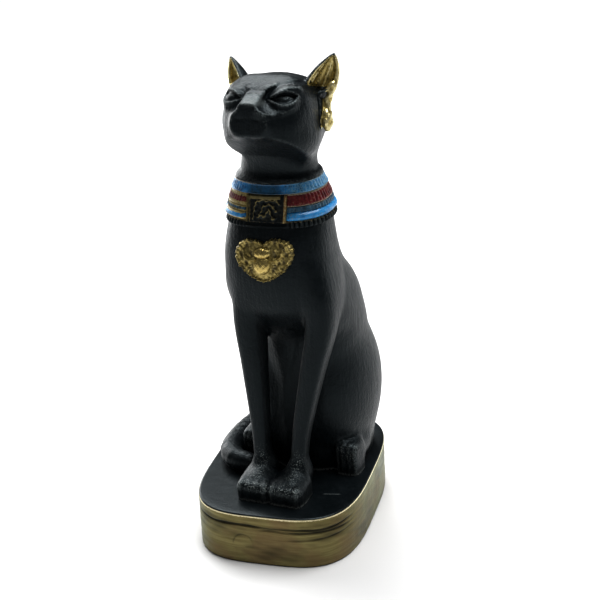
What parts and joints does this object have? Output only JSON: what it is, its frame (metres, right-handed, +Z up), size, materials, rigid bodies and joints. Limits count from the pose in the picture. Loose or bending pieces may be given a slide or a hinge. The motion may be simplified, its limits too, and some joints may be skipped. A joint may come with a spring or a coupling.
{
  "type": "cat figurine",
  "caption": "Small painted resin figurine of a seated cat goddess with a banded collar, a winged pendant and gilded ears, cast in one with its oblong base.",
  "frame": {"origin": "centre of the base's underside", "axes": "+Z up, -Y the way the cat faces, +X to the cat's left"},
  "size_m": [0.0428, 0.0588, 0.1225],
  "materials": {
    "black_paint": "satin black paint brushed on cast resin",
    "gold_paint": "antique gold paint, rubbed dark in the hollows",
    "blue_paint": "satin blue paint with pale worn rims",
    "red_paint": "satin dark red paint"
  },
  "bodies": {
    "root": {"cat_figure_on_base": "black_paint"}
  },
  "joints": []
}
